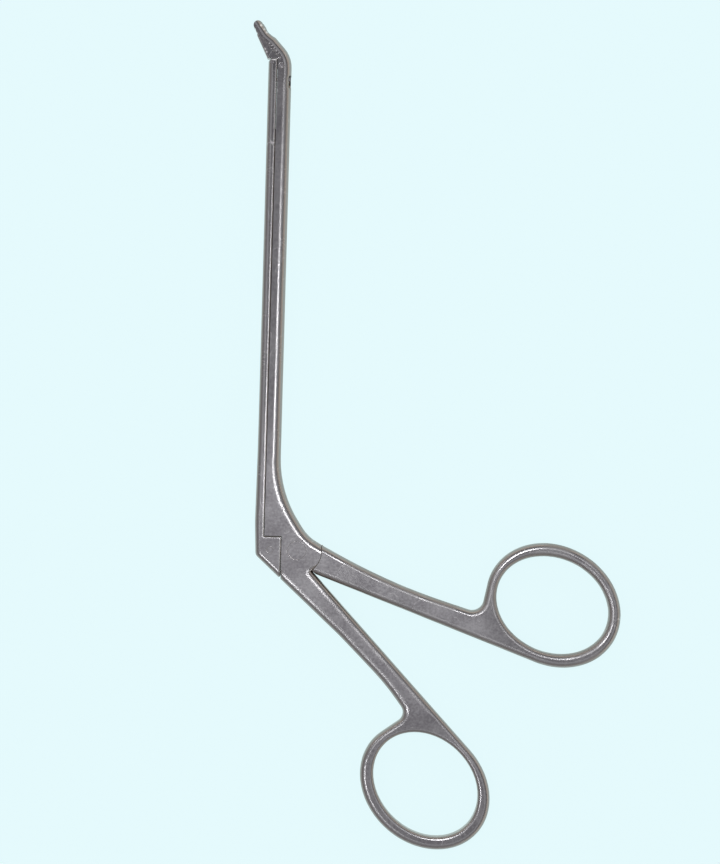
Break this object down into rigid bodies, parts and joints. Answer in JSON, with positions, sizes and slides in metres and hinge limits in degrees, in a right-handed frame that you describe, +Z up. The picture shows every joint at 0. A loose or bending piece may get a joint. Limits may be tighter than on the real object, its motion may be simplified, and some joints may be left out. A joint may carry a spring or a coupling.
{
  "type": "punch forceps",
  "caption": "Ring-handled punch forceps with a long straight shaft, a sliding upper bar and a small angled jaw that bites through an oval window.",
  "frame": {"origin": "on the handle pivot's axis, at the flat face of the box that the instrument rests on", "axes": "+X to the side of the handles, +Y along the shaft to the jaws, +Z up, away from the surface it lies on"},
  "size_m": [0.0911, 0.1958, 0.006],
  "materials": {
    "satin_steel": "satin",
    "jaw_steel": "satin",
    "rivet_steel": "polished"
  },
  "bodies": {
    "frame": {"fixed_frame": "satin_steel", "handle_pivot_rivet": "rivet_steel", "jaw_hinge_rivet": "rivet_steel"},
    "front_handle": {"front_handle": "satin_steel"},
    "slide": {"slide_bar": "satin_steel", "slide_drive_pin": "rivet_steel", "jaw_link_rivet": "rivet_steel", "slide_guide_rivet": "rivet_steel"},
    "jaw": {"punch_jaw": "jaw_steel"}
  },
  "joints": [
    {"name": "handle_hinge", "type": "hinge", "parent": "frame", "child": "front_handle", "pos_m": [0, 0, 0.003], "axis": [0, 0, 1], "range_deg": [0, 13.61]},
    {"name": "slide_travel", "type": "slide", "parent": "frame", "child": "slide", "axis": [0, -1, 0], "range_m": [0, 0.00155]},
    {"name": "jaw_hinge", "type": "hinge", "parent": "frame", "child": "jaw", "pos_m": [-0.0069, 0.115, 0.003], "axis": [0, 0, 1], "range_deg": [0, 38.82]}
  ],
  "couplings": [
    {"joint": "slide_travel", "follows": "handle_hinge", "m_per_rad": 0.0065232},
    {"joint": "jaw_hinge", "follows": "handle_hinge", "ratio": 2.8508}
  ]
}
